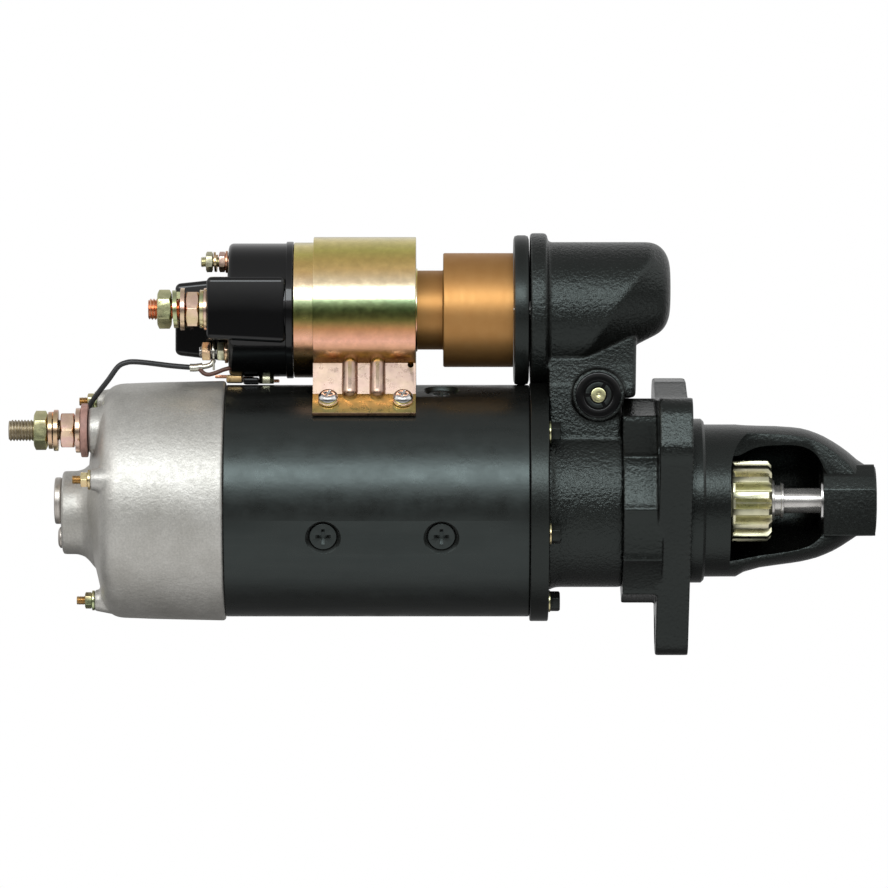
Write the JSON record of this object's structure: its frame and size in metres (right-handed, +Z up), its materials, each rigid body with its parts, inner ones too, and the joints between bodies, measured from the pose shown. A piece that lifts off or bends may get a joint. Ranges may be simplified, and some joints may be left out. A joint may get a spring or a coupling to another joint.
{
  "type": "starter motor",
  "caption": "Heavy-duty starter motor with a top solenoid, shift lever, overrunning clutch and pinion behind a cut-away nose, on a three-hole flange.",
  "frame": {"origin": "centre of the mounting flange's drive-side face, on the armature shaft's axis", "axes": "+X along the shaft towards the pinion, +Z up towards the solenoid"},
  "size_m": [0.4854, 0.1576, 0.2373],
  "materials": {
    "cast_aluminium": "sand cast, satin",
    "black_paint": "semi-gloss black paint on rolled steel",
    "cast_iron_black": "black paint over a grainy casting",
    "moulded_black": "gloss black moulding",
    "yellow_zinc": "yellow passivated zinc with a faint rainbow",
    "pinion_zinc": "pale yellow zinc on machined teeth",
    "bright_zinc": "bright zinc",
    "steel": "turned steel",
    "laminated_steel": "stacked sheet",
    "copper": "bare copper",
    "bronze": "sintered bronze",
    "bronze_tube": "satin bronze-gold coating",
    "carbon": "pressed carbon",
    "insulation": "laminated board",
    "fibre": "pressed fibre washer",
    "cable_black": "satin sleeving"
  },
  "bodies": {
    "housing": {"commutator_end_cover": "cast_aluminium", "bearing_cap": "cast_aluminium", "bearing_cap_screw": "bright_zinc", "yoke_tube": "black_paint", "bearing_plate": "cast_iron_black", "intermediate_housing": "cast_iron_black", "drive_end_shield": "cast_iron_black", "rear_bush": "bronze", "centre_bush": "bronze", "nose_bush": "bronze", "thrust_washer": "bronze", "pole_shoe_1": "laminated_steel", "pole_shoe_2": "laminated_steel", "pole_shoe_3": "laminated_steel", "pole_shoe_4": "laminated_steel", "field_coil_1": "copper", "field_coil_2": "copper", "field_coil_3": "copper", "field_coil_4": "copper", "ground_stud": "steel", "ground_nut_outer": "yellow_zinc", "ground_nut_inner": "yellow_zinc", "ground_washer": "fibre", "solenoid_case": "yellow_zinc", "solenoid_clamp": "yellow_zinc", "solenoid_coil": "copper", "solenoid_core": "steel", "solenoid_cap": "moulded_black", "battery_stud": "copper", "battery_nut_outer": "yellow_zinc", "battery_nut_inner": "yellow_zinc", "motor_stud": "copper", "control_stud": "bright_zinc", "return_stud": "bright_zinc", "plunger_tube": "bronze_tube", "tube_flange": "cast_iron_black", "lever_pin": "yellow_zinc", "pin_plug": "cast_iron_black", "brush_holder": "insulation", "link_lead": "cable_black", "motor_strap": "copper", "return_spring": "steel", "cover_stud_1": "bright_zinc", "cover_stud_2": "bright_zinc", "cover_stud_3": "bright_zinc", "cover_stud_4": "bright_zinc"},
    "armature": {"armature_shaft": "steel", "armature_core": "laminated_steel", "armature_windings": "copper", "commutator": "copper"},
    "plunger": {"solenoid_plunger": "steel"},
    "contact": {"contact_bridge": "copper"},
    "lever": {"shift_lever": "steel"},
    "drive": {"drive_collar": "steel"},
    "clutch": {"clutch_drum": "steel"},
    "pinion": {"pinion_gear": "pinion_zinc"},
    "brush_arm_1": {"brush_1": "carbon"},
    "brush_arm_2": {"brush_2": "carbon"},
    "brush_arm_3": {"brush_3": "carbon"},
    "brush_arm_4": {"brush_4": "carbon"}
  },
  "joints": [
    {"name": "armature_spin", "type": "hinge", "parent": "housing", "child": "armature", "pos_m": [-0.2, 0, 0], "axis": [1, 0, 0], "continuous": true},
    {"name": "plunger_slide", "type": "slide", "parent": "housing", "child": "plunger", "axis": [-1, 0, 0], "range_m": [0, 0.0155], "stiffness_N_per_m": 4000, "springref_m": -0.012, "deforming": ["return_spring"]},
    {"name": "contact_slide", "type": "slide", "parent": "housing", "child": "contact", "axis": [-1, 0, 0], "range_m": [0, 0.003]},
    {"name": "lever_swing", "type": "hinge", "parent": "housing", "child": "lever", "pos_m": [-0.0512, 0, 0.059], "axis": [0, -1, 0], "range_deg": [0, 18.6]},
    {"name": "drive_slide", "type": "slide", "parent": "housing", "child": "drive", "axis": [1, 0, 0], "range_m": [0, 0.0191]},
    {"name": "clutch_spin", "type": "hinge", "parent": "drive", "child": "clutch", "pos_m": [0, 0, 0], "axis": [1, 0, 0], "continuous": true},
    {"name": "pinion_overrun", "type": "hinge", "parent": "clutch", "child": "pinion", "pos_m": [0.035, 0, 0], "axis": [1, 0, 0], "continuous": true},
    {"name": "brush_slide_1", "type": "slide", "parent": "housing", "child": "brush_arm_1", "axis": [0, 0, 1], "range_m": [0, 0.006], "stiffness_N_per_m": 800, "springref_m": -0.012},
    {"name": "brush_slide_2", "type": "slide", "parent": "housing", "child": "brush_arm_2", "axis": [0, -1, 0], "range_m": [0, 0.006], "stiffness_N_per_m": 800, "springref_m": -0.012},
    {"name": "brush_slide_3", "type": "slide", "parent": "housing", "child": "brush_arm_3", "axis": [0, 0, -1], "range_m": [0, 0.006], "stiffness_N_per_m": 800, "springref_m": -0.012},
    {"name": "brush_slide_4", "type": "slide", "parent": "housing", "child": "brush_arm_4", "axis": [0, 1, 0], "range_m": [0, 0.006], "stiffness_N_per_m": 800, "springref_m": -0.012}
  ],
  "couplings": [
    {"joint": "contact_slide", "follows": "plunger_slide", "ratio": 0.1935},
    {"joint": "lever_swing", "follows": "plunger_slide", "rad_per_m": 20.925},
    {"joint": "drive_slide", "follows": "plunger_slide", "ratio": 1.2291},
    {"joint": "clutch_spin", "follows": "armature_spin", "ratio": 1}
  ]
}
